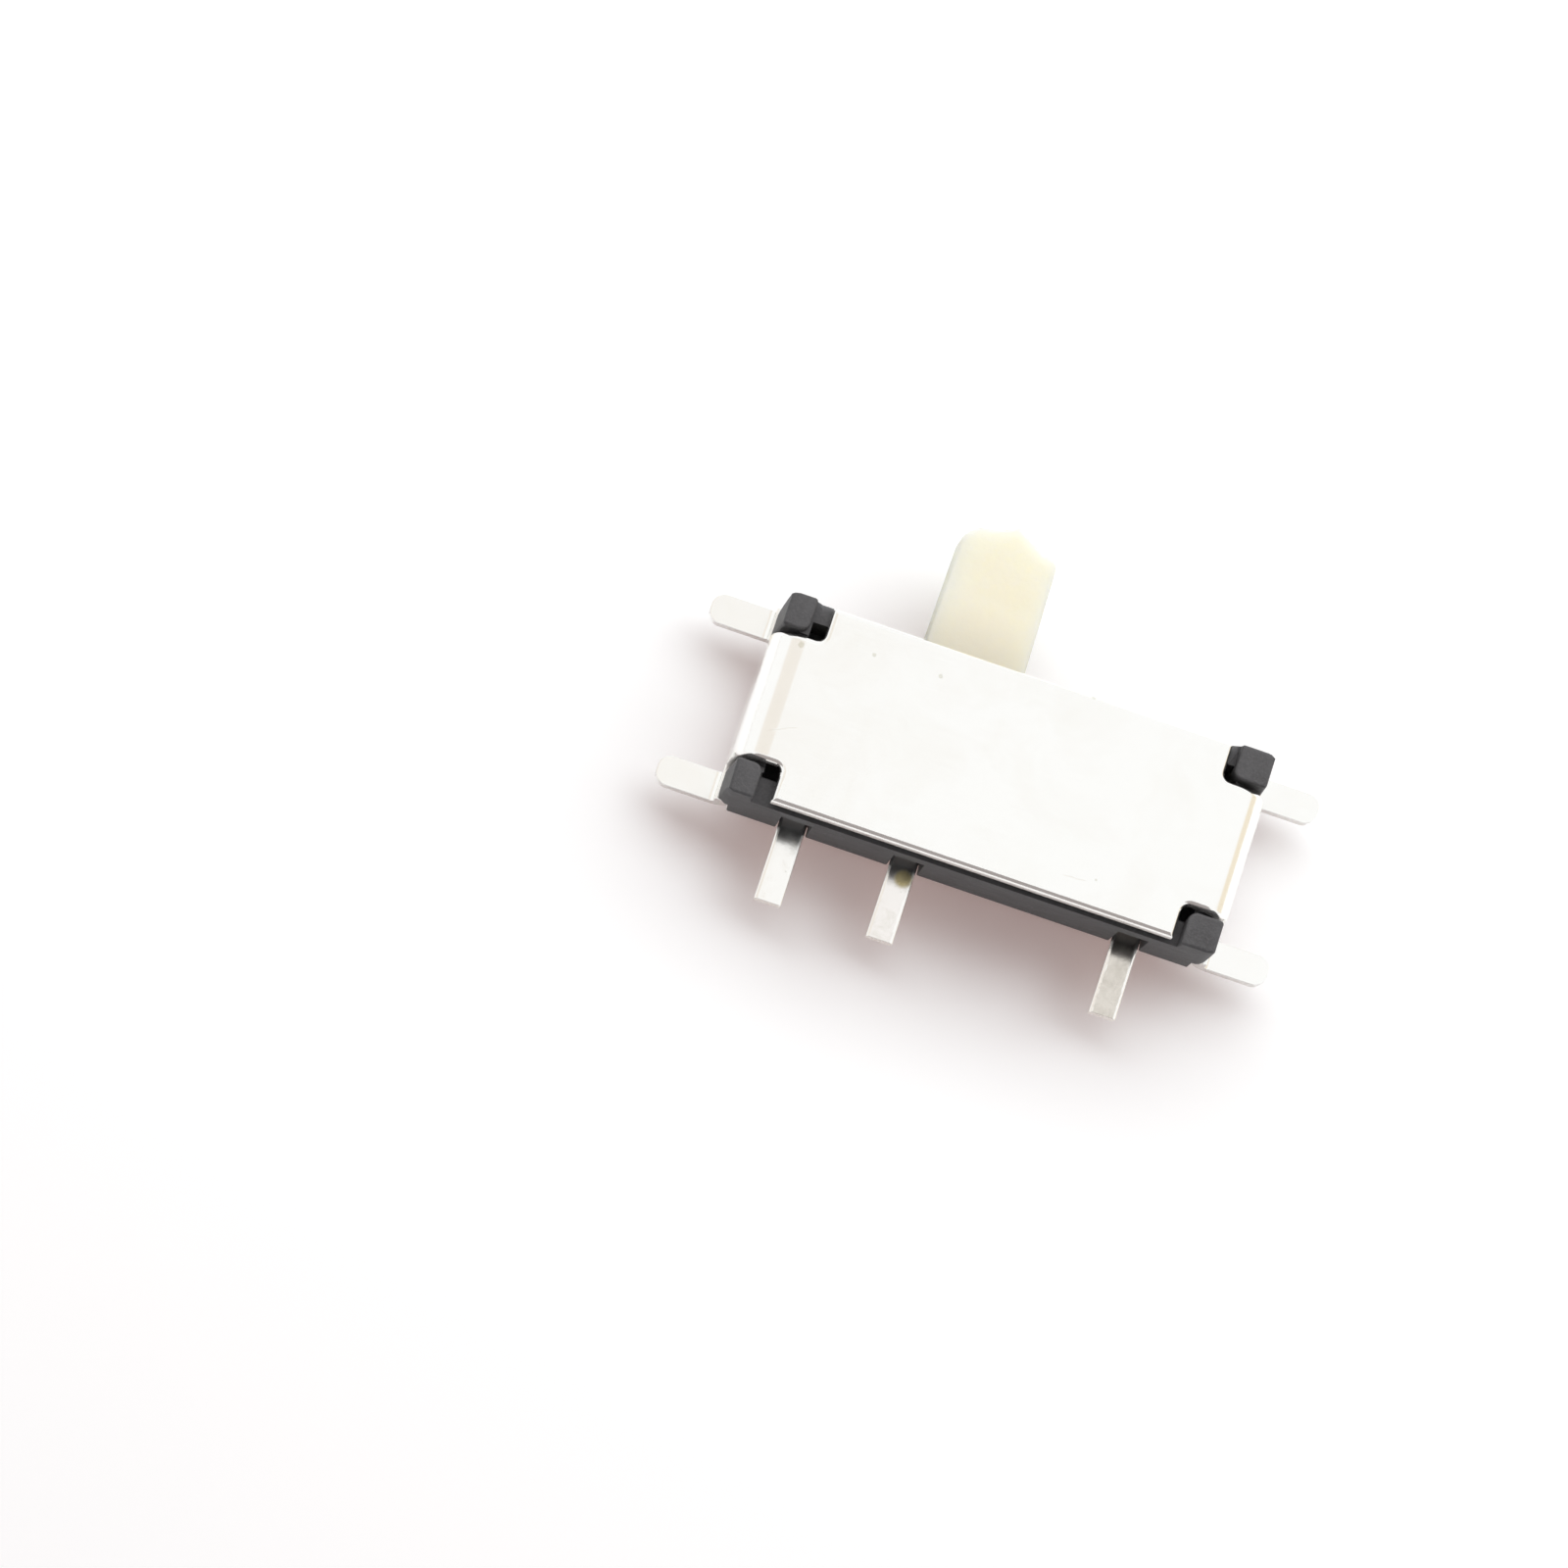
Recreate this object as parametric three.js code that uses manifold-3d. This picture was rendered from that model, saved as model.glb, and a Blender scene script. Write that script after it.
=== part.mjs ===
// A surface-mount slide switch, one pole with two positions, as it is soldered to a circuit board.
//
// Millimetres. +X runs along the knob's travel, +Y points out to the knob, +Z points away from the
// board. The origin is the middle of the housing, on the board's surface. The knob is shown at the
// -X end of its travel.
import * as THREE from "three";
import { mergeVertices } from "three/addons/utils/BufferGeometryUtils.js";
import Module from "manifold-3d";

const wasm = await Module();
wasm.setup();

// ---- Driving dimensions -------------------------------------------------------------------------

// Overall
const HOUSING_LENGTH = 6.22; // the moulding, over its end walls
const HOUSING_DEPTH = 2.7; // the moulding, over its front and rear walls
const TOTAL_HEIGHT = 1.42; // from the board to the top of the cover
const TRAVEL = 1.5; // of the knob, from stop to stop

// Stock
const SHEET = 0.18; // the cover's plated steel
const STRIP = 0.18; // the terminals' plated strip
const SPRING = 0.08; // the moving contact's spring strip

// Clearances
const INSERT_GAP = 0.01; // round the moulded-in terminals
const COVER_GAP = 0.02; // between housing end walls and cover walls
const RUN_GAP = 0.03; // between the slider and whatever it slides along
const STOP_GAP = 0.02; // between the slider's end and the cavity's end, at each end of the travel
const CONTACT_GAP = 0.01; // between the moving contact and whatever it bears on

// Housing
const FRONT_WALL = 0.35;
const REAR_WALL = 0.27;
const END_WALL = 0.25;
const FRONT_CHAMFER = 0.1; // along the lower front edge
const FRONT_SLOT = 0.1; // between the front wall and the cover above it
const END_CHAMFER = 0.27; // along the end walls' top edges, inside the cover's bends
const LEFT_POST_LENGTH = 0.39; // at the posts' feet
const RIGHT_POST_LENGTH = 0.5;
const POST_DEPTH = 0.45;
const POST_OVERHANG = 0.17; // past the end walls, at the posts' feet
const POST_DRAFT = 0.05; // how far the posts' outer faces lean in by their tops
const POST_BOTTOM = 0.45; // where the posts step out past the end walls
const POST_CORNER = 0.15; // the posts' outer corners
const POST_ROUND = 0.12; // the posts' inner corners
const WINDOW_X = 1.5; // from the middle to each window in the underside, and to its peg
const WINDOW_LENGTH = 1.55;
const WINDOW_FRONT_WALL = 1.01; // from the front face
const WINDOW_REAR_WALL = 0.53; // from the rear face
const WEB_WIDTH = 0.38; // of the web that joins each peg to its window's rear edge
const PEG_Y = 0.04;
const PEG_DIAMETER = 0.68;
const PEG_LENGTH = 0.5; // below the underside
const PEG_CHAMFER = 0.07;
const RECESS_GAP = 0.02; // beside each terminal, in the front wall
const RECESS_HEIGHT = 0.85;
const RECESS_DEPTH = 0.15;
const GROOVE_RADIUS = 0.2; // the two detent grooves in the front wall
const GROOVE_DEPTH = 0.06;
const GROOVE_MARGIN = 0.06; // below the spring

// Terminals
const TERMINAL_X = [-2.25, -0.75, 2.25];
const TERMINAL_WIDTH = 0.36;
const TERMINAL_REACH = 0.96; // past the front wall
const TERMINAL_BEND = 0.13; // to the middle of the strip
const UPRIGHT_DEPTH = 0.43; // from the front wall to the uprights' rear faces
const PAD_BOTTOM = 0.45;
const PAD_SETBACK = 0.32; // from the uprights to the pads
const PAD_REAR_MARGIN = 0.16; // from the pads to the cavity's rear
const PAD_END_MARGIN = 0.1; // from the pads to the cavity's ends
const PAD_SPLIT = 0.32; // between neighbouring pads, over each peg

// Cover
const COVER_INSET = 0.04; // from the housing's front and rear faces
const COVER_BEND = 0.26; // inside the top bends
const NOTCH_GAP_X = 0.11; // from the right-hand posts to the cover, along X
const NOTCH_GAP_Y = 0.06; // and along Y
const NOTCH_ROUND = 0.1;
const SHOULDER_GAP = 0.03; // below the posts' steps
const FOOT_LENGTH = 0.81; // past the cover's walls
const FOOT_WIDTH = 0.4;
const FOOT_ROUND = 0.17;
const FOOT_BEND = 0.07; // inside
const SKIRT_BOTTOM = 0.03; // the cover walls' lower edge, between the feet
const RELIEF_WIDTH = 0.07; // the slit beside each foot
const RELIEF_TOP = 0.3;

// Slider and knob
const KNOB_ROOT_WIDTH = 1.34;
const KNOB_TIP_WIDTH = 1.27;
const KNOB_REACH = 1.6; // past the rear wall
const KNOB_BOTTOM = 0.35;
const KNOB_TOP = 0.95;
const KNOB_ROUND = 0.15;
const SLOT_GAP = 0.06; // beside and below the knob, in the rear wall
const DIMPLE_DIAMETER = 0.7; // in the knob's underside
const DIMPLE_DEPTH = 0.07;
const DIMPLE_SETBACK = 0.55; // from the knob's tip to the dimple's middle
// The broken gate on the knob's tip: points from the knob's middle, and past the tip.
const GATE_EDGE = [
  [0.43, 0],
  [0.32, 0.07],
  [0.17, 0.16],
  [0.05, 0.24],
  [-0.2, 0.13],
  [-0.45, 0.08],
  [-0.56, 0],
];
const GATE_DEPTH = 0.4; // below the knob's top
const SLIDER_CHAMFER = 0.42; // the slider's corners, clear of the posts' inner corners
const STAKE_DIAMETER = 0.28;
const STAKE_Y = 0.25;

// Moving contact
const SPINE_LENGTH = 1.1;
const SPINE_DEPTH = 0.8;
const SPINE_DROP = 0.13; // from the slider's top to the spine
const ARM_DEPTH = 0.5;
const ARM_SPLIT = 0.1; // between the two fingers of each arm
const ARM_BEARING = 1.12; // from the slider's middle to where each arm bears on a pad
const ARM_TIP = 1.42;
const ARM_TIP_LIFT = 0.14;
const ARM_BEND = 0.14;
const TOE_BEND = 0.06; // where each arm bears on a pad
const DETENT_ARM_WIDTH = 0.14;
const DETENT_ARM_SPAN = 0.96;
const DETENT_ARM_SETBACK = 0.38; // from the cavity's front wall
const NOSE_RADIUS = 0.14;

// ---- Sizes that follow --------------------------------------------------------------------------

const FRONT = -HOUSING_DEPTH / 2;
const REAR = HOUSING_DEPTH / 2;
const END = HOUSING_LENGTH / 2;
const WALL_TOP = TOTAL_HEIGHT - SHEET;
const FLOOR = PAD_BOTTOM + STRIP;
const CAVITY_X = END - END_WALL;
const CAVITY_FRONT = FRONT + FRONT_WALL;
const CAVITY_REAR = REAR - REAR_WALL;
const POST_REACH = END + POST_OVERHANG;
const POST_X = POST_REACH - RIGHT_POST_LENGTH;
const POST_Y = REAR - POST_DEPTH;

const UPRIGHT_REAR = FRONT + UPRIGHT_DEPTH;
const PAD_FRONT = UPRIGHT_REAR + PAD_SETBACK;
const PAD_REAR = CAVITY_REAR - PAD_REAR_MARGIN;
const PAD_END = CAVITY_X - PAD_END_MARGIN;
const SPLIT_INNER = WINDOW_X - PAD_SPLIT / 2;
const SPLIT_OUTER = WINDOW_X + PAD_SPLIT / 2;
const PAD_SPANS = [
  [-PAD_END, -SPLIT_OUTER],
  [-SPLIT_INNER, SPLIT_INNER],
  [SPLIT_OUTER, PAD_END],
];

const COVER_Y = REAR - COVER_INSET;
const COVER_WALL = END + COVER_GAP; // inner face
const NOTCH_X = POST_X - NOTCH_GAP_X;
const NOTCH_Y = POST_Y - NOTCH_GAP_Y;
const FOOT_END = COVER_WALL + SHEET + FOOT_LENGTH;
const FOOT_INNER = COVER_Y - FOOT_WIDTH;

const SLIDER_X = -TRAVEL / 2;
const SLIDER_HALF = CAVITY_X - STOP_GAP - TRAVEL / 2;
const SLIDER_BOTTOM = FLOOR + RUN_GAP;
const SLIDER_TOP = WALL_TOP - RUN_GAP;
const SLIDER_FRONT = CAVITY_FRONT + RUN_GAP;
const SLIDER_REAR = CAVITY_REAR - RUN_GAP;
const KNOB_START = CAVITY_REAR + RUN_GAP;
const KNOB_TIP = REAR + KNOB_REACH;

const SPINE_TOP = SLIDER_TOP - SPINE_DROP;
const SPINE_BOTTOM = SPINE_TOP - SPRING;
const SPINE_FRONT = STAKE_Y - SPINE_DEPTH / 2;
const SPINE_REAR = STAKE_Y + SPINE_DEPTH / 2;

const PAST = 0.5; // how far a cutting shape runs past what it cuts
const ARC_STEPS = 10; // straight steps in a quarter turn
const WELD = 1e-5; // vertices closer than this are one
const ACROSS_X = new THREE.Vector3(-1, 1, 1);
const ACROSS_Y = new THREE.Vector3(1, -1, 1);

// ---- Geometry helpers ---------------------------------------------------------------------------

const X = new THREE.Vector3(1, 0, 0);
const Y = new THREE.Vector3(0, 1, 0);
const Z = new THREE.Vector3(0, 0, 1);

// A closed three.js geometry as a solid that can be joined and cut.
function solid(geometry) {
  const bare = geometry.clone();
  bare.deleteAttribute("normal");
  bare.deleteAttribute("uv");
  const merged = mergeVertices(bare, WELD);
  return new wasm.Manifold(
    new wasm.Mesh({
      numProp: 3,
      vertProperties: new Float32Array(merged.attributes.position.array),
      triVerts: new Uint32Array(merged.index.array),
    }),
  );
}

function extrude(shape, depth) {
  return new THREE.ExtrudeGeometry(shape, { depth, bevelEnabled: false, curveSegments: ARC_STEPS });
}

// A shape drawn in X and Y, standing from z0 to z1.
function plan(shape, z0, z1) {
  return solid(extrude(shape, z1 - z0).translate(0, 0, z0));
}

// A shape drawn in X and Z, running from y0 to y1.
function elevation(shape, y0, y1) {
  const turn = new THREE.Matrix4().makeBasis(X, Z, Y.clone().negate());
  return solid(extrude(shape, y1 - y0).applyMatrix4(turn).translate(0, y1, 0));
}

// A shape drawn in Y and Z, running from x0 to x1.
function profile(shape, x0, x1) {
  const turn = new THREE.Matrix4().makeBasis(Y, Z, X);
  return solid(extrude(shape, x1 - x0).applyMatrix4(turn).translate(x0, 0, 0));
}

function box(x0, x1, y0, y1, z0, z1) {
  const geometry = new THREE.BoxGeometry(x1 - x0, y1 - y0, z1 - z0);
  return solid(geometry.translate((x0 + x1) / 2, (y0 + y1) / 2, (z0 + z1) / 2));
}

function polygon(points) {
  return new THREE.Shape(points.map(([u, v]) => new THREE.Vector2(u, v)));
}

function cylinder(x, y, radius, z0, z1) {
  const circle = new THREE.Shape().absarc(x, y, radius, 0, 2 * Math.PI);
  return plan(circle, z0, z1);
}

// A closed outline through the corners [u, v, radius], taken anticlockwise, each corner an arc.
function roundedOutline(corners) {
  const points = [];
  corners.forEach(([u, v, radius], i) => {
    const corner = new THREE.Vector2(u, v);
    if (!radius) {
      points.push(corner);
      return;
    }
    const before = corners[(i + corners.length - 1) % corners.length];
    const after = corners[(i + 1) % corners.length];
    points.push(...cornerArc(before, corner, after, radius).map((step) => step.point));
  });
  return new THREE.Shape(points);
}

// Points along the arc that rounds a corner, each with the normal to the left of the way travelled.
function cornerArc(before, corner, after, radius) {
  const into = new THREE.Vector2(corner.x - before[0], corner.y - before[1]).normalize();
  const out = new THREE.Vector2(after[0] - corner.x, after[1] - corner.y).normalize();
  const turn = Math.atan2(into.cross(out), into.dot(out));
  const side = Math.sign(turn);
  const setback = radius * Math.tan(Math.abs(turn) / 2);
  const start = corner.clone().addScaledVector(into, -setback);
  const normal = new THREE.Vector2(-into.y, into.x);
  const centre = start.clone().addScaledVector(normal, side * radius);
  const steps = Math.max(2, Math.ceil((ARC_STEPS * Math.abs(turn)) / (Math.PI / 2)));
  const arc = [];
  for (let i = 0; i <= steps; i += 1) {
    const left = normal.clone().rotateAround(new THREE.Vector2(), (turn * i) / steps);
    arc.push({ point: centre.clone().addScaledVector(left, -side * radius), left });
  }
  return arc;
}

// A strip of even thickness along the middle line through [u, v, bend radius].
function strip(line, thickness) {
  const left = [];
  const right = [];
  const add = (point, normal) => {
    left.push(point.clone().addScaledVector(normal, thickness / 2));
    right.push(point.clone().addScaledVector(normal, -thickness / 2));
  };
  const endNormal = (from, to) => {
    const way = new THREE.Vector2(to[0] - from[0], to[1] - from[1]).normalize();
    return new THREE.Vector2(-way.y, way.x);
  };
  const last = line.length - 1;
  add(new THREE.Vector2(line[0][0], line[0][1]), endNormal(line[0], line[1]));
  for (let i = 1; i < last; i += 1) {
    const corner = new THREE.Vector2(line[i][0], line[i][1]);
    cornerArc(line[i - 1], corner, line[i + 1], line[i][2]).forEach((step) => add(step.point, step.left));
  }
  add(new THREE.Vector2(line[last][0], line[last][1]), endNormal(line[last - 1], line[last]));
  return new THREE.Shape([...right, ...left.reverse()]);
}

function join(pieces) {
  return pieces.reduce((whole, piece) => whole.add(piece));
}

function cut(body, tools) {
  return tools.reduce((left, tool) => left.subtract(tool), body);
}

function geometryOf(body) {
  const made = body.getMesh();
  const geometry = new THREE.BufferGeometry();
  geometry.setAttribute("position", new THREE.BufferAttribute(new Float32Array(made.vertProperties), 3));
  geometry.setIndex(new THREE.BufferAttribute(new Uint32Array(made.triVerts), 1));
  return geometry;
}

// A mirror image, with each triangle turned over so that it still faces out.
function mirrored(body, across) {
  const geometry = geometryOf(body).scale(across.x, across.y, across.z);
  geometry.index.array.reverse();
  return solid(geometry);
}

// A solid drawn at the right rear corner, and its mirror images at the other three.
function inFourCorners(body) {
  const left = mirrored(body, ACROSS_X);
  return [body, left, mirrored(body, ACROSS_Y), mirrored(left, ACROSS_Y)];
}

function mesh(name, body, material) {
  const geometry = geometryOf(body);
  geometry.computeVertexNormals();
  const result = new THREE.Mesh(geometry, material);
  result.name = name;
  return result;
}

// ---- Terminals ----------------------------------------------------------------------------------

// A flat pad in the floor, and a leg that runs forward, turns down in the front wall and turns out
// again as a foot on the board. It grows by `gap` all round to make its own pocket.
function terminalSolid(x, [padLeft, padRight], gap) {
  const half = STRIP / 2;
  const upright = UPRIGHT_REAR - half;
  const line = [
    [PAD_FRONT + STRIP, FLOOR - half],
    [upright, FLOOR - half, TERMINAL_BEND],
    [upright, half, TERMINAL_BEND],
    [FRONT - TERMINAL_REACH - gap, half],
  ];
  const halfWidth = TERMINAL_WIDTH / 2 + gap;
  const leg = profile(strip(line, STRIP + 2 * gap), x - halfWidth, x + halfWidth);
  const pad = box(
    padLeft - gap,
    padRight + gap,
    PAD_FRONT - gap,
    PAD_REAR + gap,
    PAD_BOTTOM - gap,
    FLOOR + gap,
  );
  return pad.add(leg);
}

// ---- Housing ------------------------------------------------------------------------------------

// The right rear post, `length` long at its foot.
function post(length) {
  const outline = roundedOutline([
    [POST_REACH - length, POST_Y, POST_ROUND],
    [POST_REACH, POST_Y],
    [POST_REACH, REAR, POST_CORNER],
    [POST_REACH - length, REAR],
  ]);
  const draft = polygon([
    [POST_REACH, POST_BOTTOM],
    [POST_REACH, POST_BOTTOM - PAST],
    [POST_REACH + PAST, POST_BOTTOM - PAST],
    [POST_REACH + PAST, TOTAL_HEIGHT + PAST],
    [POST_REACH - POST_DRAFT, TOTAL_HEIGHT + PAST],
    [POST_REACH - POST_DRAFT, TOTAL_HEIGHT],
  ]);
  return cut(plan(outline, POST_BOTTOM, TOTAL_HEIGHT), [elevation(draft, 0, REAR + PAST)]);
}

function posts() {
  const right = post(RIGHT_POST_LENGTH);
  const left = mirrored(post(LEFT_POST_LENGTH), ACROSS_X);
  return [right, left, mirrored(right, ACROSS_Y), mirrored(left, ACROSS_Y)];
}

function peg(x) {
  const radius = PEG_DIAMETER / 2;
  const outline = [
    [0, PAD_BOTTOM],
    [0, -PEG_LENGTH],
    [radius - PEG_CHAMFER, -PEG_LENGTH],
    [radius, -PEG_LENGTH + PEG_CHAMFER],
    [radius, PAD_BOTTOM],
    [0, PAD_BOTTOM],
  ].map(([r, h]) => new THREE.Vector2(r, h));
  const turned = new THREE.LatheGeometry(outline, 4 * ARC_STEPS).rotateX(Math.PI / 2);
  return solid(turned.translate(x, PEG_Y, 0));
}

// The opening under the pads round one peg, less the web that carries the peg.
function pegWindow(x) {
  const half = WINDOW_LENGTH / 2;
  const rear = REAR - WINDOW_REAR_WALL;
  const opening = box(x - half, x + half, FRONT + WINDOW_FRONT_WALL, rear, -PAST, PAD_BOTTOM);
  const web = box(x - WEB_WIDTH / 2, x + WEB_WIDTH / 2, PEG_Y, rear + PAST, -PAST, PAD_BOTTOM);
  return cut(opening, [web, cylinder(x, PEG_Y, PEG_DIAMETER / 2, -PAST, PAD_BOTTOM)]);
}

// The bevel that leaves room for the cover's bend over the right-hand end wall.
function endBevel() {
  const outline = polygon([
    [END - END_CHAMFER, WALL_TOP],
    [END, WALL_TOP - END_CHAMFER],
    [END + PAST, WALL_TOP - END_CHAMFER],
    [END + PAST, WALL_TOP + PAST],
    [END - END_CHAMFER, WALL_TOP + PAST],
  ]);
  return elevation(outline, -POST_Y, POST_Y);
}

function frontRecess(x) {
  const half = TERMINAL_WIDTH / 2 + RECESS_GAP;
  return box(x - half, x + half, FRONT - PAST, FRONT + RECESS_DEPTH, -PAST, RECESS_HEIGHT);
}

// What lowers the front wall, and just more than the wall, to leave a gap below the cover.
function frontSlot() {
  const bottom = WALL_TOP - FRONT_SLOT;
  return box(-END - PAST, END + PAST, FRONT - PAST, SLIDER_FRONT, bottom, TOTAL_HEIGHT + PAST);
}

// The slot in the rear wall that the knob runs in, and its mouth into the cavity over the floor.
function knobSlot() {
  const half = TRAVEL / 2 + KNOB_ROOT_WIDTH / 2 + SLOT_GAP;
  const bottom = KNOB_BOTTOM - SLOT_GAP;
  return [
    box(-half, half, CAVITY_REAR, REAR + PAST, bottom, TOTAL_HEIGHT + PAST),
    box(-half, half, CAVITY_REAR - PAST, REAR + PAST, FLOOR, TOTAL_HEIGHT + PAST),
  ];
}

function detentGroove(x) {
  const y = CAVITY_FRONT + GROOVE_RADIUS - GROOVE_DEPTH;
  return cylinder(x, y, GROOVE_RADIUS, SPINE_BOTTOM - GROOVE_MARGIN, TOTAL_HEIGHT + PAST);
}

function housingSolid() {
  const section = polygon([
    [FRONT + FRONT_CHAMFER, 0],
    [REAR, 0],
    [REAR, WALL_TOP],
    [FRONT, WALL_TOP],
    [FRONT, FRONT_CHAMFER],
  ]);
  const cavity = box(-CAVITY_X, CAVITY_X, CAVITY_FRONT, CAVITY_REAR, FLOOR, TOTAL_HEIGHT + PAST);
  const walls = cut(profile(section, -END, END), [
    cavity,
    frontSlot(),
    ...knobSlot(),
    endBevel(),
    mirrored(endBevel(), ACROSS_X),
    detentGroove(TRAVEL / 2),
    detentGroove(-TRAVEL / 2),
  ]);
  const body = cut(join([walls, ...posts()]), [
    pegWindow(WINDOW_X),
    pegWindow(-WINDOW_X),
    ...TERMINAL_X.map(frontRecess),
    ...TERMINAL_X.map((x, i) => terminalSolid(x, PAD_SPANS[i], INSERT_GAP)),
  ]);
  return join([body, peg(WINDOW_X), peg(-WINDOW_X)]);
}

// ---- Cover --------------------------------------------------------------------------------------

// One folded sheet: a flat top, a wall bent down at each end, and two feet turned out of each wall.
// Each wall widens under the posts' steps, which hold the cover down.
function coverSolid() {
  const half = SHEET / 2;
  const top = TOTAL_HEIGHT - half;
  const wall = COVER_WALL + half;
  const topBend = COVER_BEND + half;
  const footBend = FOOT_BEND + half;
  const overTop = [
    [wall, top, topBend],
    [-wall, top, topBend],
  ];
  const withFeet = strip(
    [[FOOT_END, half], [wall, half, footBend], ...overTop, [-wall, half, footBend], [-FOOT_END, half]],
    SHEET,
  );
  const withoutFeet = strip([[wall, SKIRT_BOTTOM], ...overTop, [-wall, SKIRT_BOTTOM]], SHEET);
  const skirtY = FOOT_INNER - RELIEF_WIDTH;
  const slit = box(-FOOT_END - PAST, FOOT_END + PAST, -FOOT_INNER, FOOT_INNER, -PAST, RELIEF_TOP);
  const footed = cut(elevation(withFeet, -COVER_Y, COVER_Y), [slit]);
  const sheet = footed.add(elevation(withoutFeet, -skirtY, skirtY));
  return cut(sheet, [...inFourCorners(postNotch()), ...inFourCorners(footCorners())]);
}

// The room round one post, down to the wall's shoulder.
function postNotch() {
  const outline = roundedOutline([
    [NOTCH_X, NOTCH_Y, NOTCH_ROUND],
    [FOOT_END, NOTCH_Y],
    [FOOT_END, REAR + PAST],
    [NOTCH_X, REAR + PAST],
  ]);
  return plan(outline, POST_BOTTOM - SHOULDER_GAP, TOTAL_HEIGHT + PAST);
}

// What is cut away from one square foot to leave its rounded end.
function footCorners() {
  const start = FOOT_END - FOOT_ROUND;
  const kept = roundedOutline([
    [start - FOOT_ROUND, FOOT_INNER],
    [FOOT_END, FOOT_INNER, FOOT_ROUND],
    [FOOT_END, COVER_Y, FOOT_ROUND],
    [start - FOOT_ROUND, COVER_Y],
  ]);
  const block = box(start, FOOT_END + PAST, FOOT_INNER - PAST, COVER_Y + PAST, -PAST, 2 * SHEET);
  return cut(block, [plan(kept, -2 * PAST, PAST + 2 * SHEET)]);
}

// ---- Slider with its knob -----------------------------------------------------------------------

// Drawn about its own middle. The knob, the body in the cavity and the stake are one moulding.
function sliderSolid() {
  const outline = polygon([
    [-SLIDER_HALF + SLIDER_CHAMFER, SLIDER_FRONT],
    [SLIDER_HALF - SLIDER_CHAMFER, SLIDER_FRONT],
    [SLIDER_HALF, SLIDER_FRONT + SLIDER_CHAMFER],
    [SLIDER_HALF, SLIDER_REAR - SLIDER_CHAMFER],
    [SLIDER_HALF - SLIDER_CHAMFER, SLIDER_REAR],
    [-SLIDER_HALF + SLIDER_CHAMFER, SLIDER_REAR],
    [-SLIDER_HALF, SLIDER_REAR - SLIDER_CHAMFER],
    [-SLIDER_HALF, SLIDER_FRONT + SLIDER_CHAMFER],
  ]);
  const pocketBottom = SLIDER_BOTTOM - PAST;
  const pocketTop = SPINE_TOP + CONTACT_GAP;
  const armReach = ARM_TIP + ARM_BEND;
  const armFront = SPINE_FRONT - CONTACT_GAP;
  const armRear = SPINE_REAR + CONTACT_GAP;
  const armPocket = box(-armReach, armReach, armFront, armRear, pocketBottom, pocketTop);
  const detentReach = (DETENT_ARM_SPAN + DETENT_ARM_WIDTH) / 2 + CONTACT_GAP;
  const detentFront = SLIDER_FRONT - PAST;
  const detentPocket = box(-detentReach, detentReach, detentFront, SPINE_FRONT, pocketBottom, pocketTop);
  const body = cut(plan(outline, SLIDER_BOTTOM, SLIDER_TOP), [armPocket, detentPocket]);
  const stake = cylinder(0, STAKE_Y, STAKE_DIAMETER / 2, SPINE_BOTTOM - SPRING, SLIDER_TOP);
  const neckHalf = KNOB_ROOT_WIDTH / 2;
  const neckRear = KNOB_START + RUN_GAP;
  const neck = box(-neckHalf, neckHalf, SLIDER_REAR - RUN_GAP, neckRear, SLIDER_BOTTOM, KNOB_TOP);
  return join([body, stake, neck, knobSolid()]);
}

function knobSolid() {
  const root = KNOB_ROOT_WIDTH / 2;
  const tip = KNOB_TIP_WIDTH / 2;
  const outline = roundedOutline([
    [-root, KNOB_START],
    [root, KNOB_START],
    [tip, KNOB_TIP, KNOB_ROUND],
    [-tip, KNOB_TIP, KNOB_ROUND],
  ]);
  const gateRoot = KNOB_TIP - KNOB_ROUND;
  const gateOutline = polygon([
    [GATE_EDGE.at(-1)[0], gateRoot],
    [GATE_EDGE[0][0], gateRoot],
    ...GATE_EDGE.map(([x, past]) => [x, KNOB_TIP + past]),
  ]);
  const gate = plan(gateOutline, KNOB_TOP - GATE_DEPTH, KNOB_TOP);
  const dimpleY = KNOB_TIP - DIMPLE_SETBACK;
  const dimpleTop = KNOB_BOTTOM + DIMPLE_DEPTH;
  const dimple = cylinder(0, dimpleY, DIMPLE_DIAMETER / 2, KNOB_BOTTOM - PAST, dimpleTop);
  return cut(join([plan(outline, KNOB_BOTTOM, KNOB_TOP), gate]), [dimple]);
}

// ---- Moving contact -----------------------------------------------------------------------------

// Drawn about the slider's middle: a spine staked to the slider, a split arm to each side that bears
// on the pads, and a spring arm in front whose nose rides over the ridge between the two grooves.
function contactSolid() {
  const spineHalf = SPINE_LENGTH / 2;
  const spine = box(-spineHalf, spineHalf, SPINE_FRONT, SPINE_REAR, SPINE_BOTTOM, SPINE_TOP);
  const stakeHole = cylinder(0, STAKE_Y, STAKE_DIAMETER / 2 + CONTACT_GAP, 0, TOTAL_HEIGHT);
  const arm = contactArm();
  const pieces = [spine, arm, mirrored(arm, ACROSS_X), detentArm()];
  return cut(join(pieces), [stakeHole]);
}

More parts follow.
